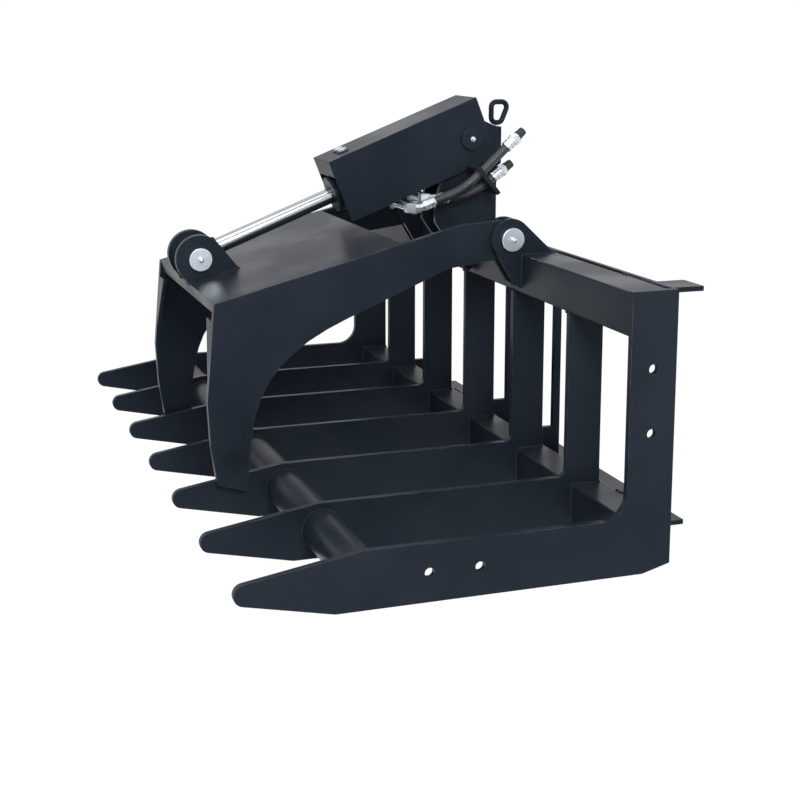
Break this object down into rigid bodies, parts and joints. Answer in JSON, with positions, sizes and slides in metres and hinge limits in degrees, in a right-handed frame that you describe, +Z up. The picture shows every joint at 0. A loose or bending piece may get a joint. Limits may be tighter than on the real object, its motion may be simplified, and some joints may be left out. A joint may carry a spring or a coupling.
{
  "type": "grapple",
  "caption": "Root grapple for a compact loader: flat L-shaped tines on square tubes, a hinged plate lid worked by one covered hydraulic cylinder, and a quick attach frame behind.",
  "frame": {"origin": "middle of the width and of the depth, on the ground under the tines", "axes": "+Z up, +Y back towards the loader, tine tips at -Y, +X across to the side nearest the camera in the picture"},
  "size_m": [1.5368, 0.917, 0.7748],
  "materials": {
    "gloss_paint": "gloss",
    "zinc_steel": "satin",
    "chrome_rod": "polished",
    "bush_bronze": "satin",
    "hose_rubber": "matt",
    "seal_rubber": "matt"
  },
  "bodies": {
    "frame": {"end_plate_right": "gloss_paint", "end_plate_left": "gloss_paint", "tine_1": "gloss_paint", "tine_2": "gloss_paint", "tine_3": "gloss_paint", "tine_4": "gloss_paint", "tine_5": "gloss_paint", "top_tube": "gloss_paint", "rear_tube": "gloss_paint", "nose_tube": "gloss_paint", "attach_top_rail": "gloss_paint", "attach_bottom_lip": "gloss_paint", "attach_webs": "gloss_paint", "lid_ears_right": "gloss_paint", "lid_ears_left": "gloss_paint", "pivot_pin_right": "zinc_steel", "pivot_pin_left": "zinc_steel", "pivot_keepers": "zinc_steel", "tower_plate_right": "gloss_paint", "tower_plate_left": "gloss_paint", "tower_brace": "gloss_paint", "base_pin": "gloss_paint", "base_pin_keeper": "zinc_steel", "hose_guide": "gloss_paint", "hose_clamp": "gloss_paint", "hose_1": "hose_rubber", "hose_2": "hose_rubber", "hose_couplers": "zinc_steel"},
    "lid": {"lid_arm_right": "gloss_paint", "lid_arm_left": "gloss_paint", "lid_plate": "gloss_paint", "lid_gussets": "gloss_paint", "pivot_bushes": "bush_bronze", "rod_lug_right": "gloss_paint", "rod_lug_left": "gloss_paint", "rod_pin": "zinc_steel", "rod_pin_keeper": "zinc_steel"},
    "barrel": {"barrel": "gloss_paint", "base_eye": "gloss_paint", "base_eye_bush": "bush_bronze", "gland": "gloss_paint", "rod_seal": "seal_rubber", "port_fittings": "zinc_steel", "rod_port_line": "gloss_paint", "cylinder_cover": "gloss_paint", "cover_saddle": "gloss_paint", "cover_bolts": "zinc_steel"},
    "rod": {"rod": "chrome_rod", "piston": "zinc_steel", "piston_ring": "seal_rubber", "rod_eye": "gloss_paint"}
  },
  "joints": [
    {"name": "lid_pivot", "type": "hinge", "parent": "frame", "child": "lid", "pos_m": [0, 0.2035, 0.514], "axis": [-1, 0, 0], "range_deg": [0, 40]},
    {"name": "barrel_pivot", "type": "hinge", "parent": "frame", "child": "barrel", "pos_m": [0, 0.2145, 0.69], "axis": [-1, 0, 0], "range_deg": [0, 38.5], "deforming": ["hose_1", "hose_2"]},
    {"name": "rod_slide", "type": "slide", "parent": "barrel", "child": "rod", "axis": [0, 0.9306, 0.366], "range_m": [0, 0.121]}
  ],
  "couplings": [
    {"joint": "barrel_pivot", "follows": "lid_pivot", "ratio": 0.9498},
    {"joint": "rod_slide", "follows": "lid_pivot", "m_per_rad": 0.17087}
  ]
}
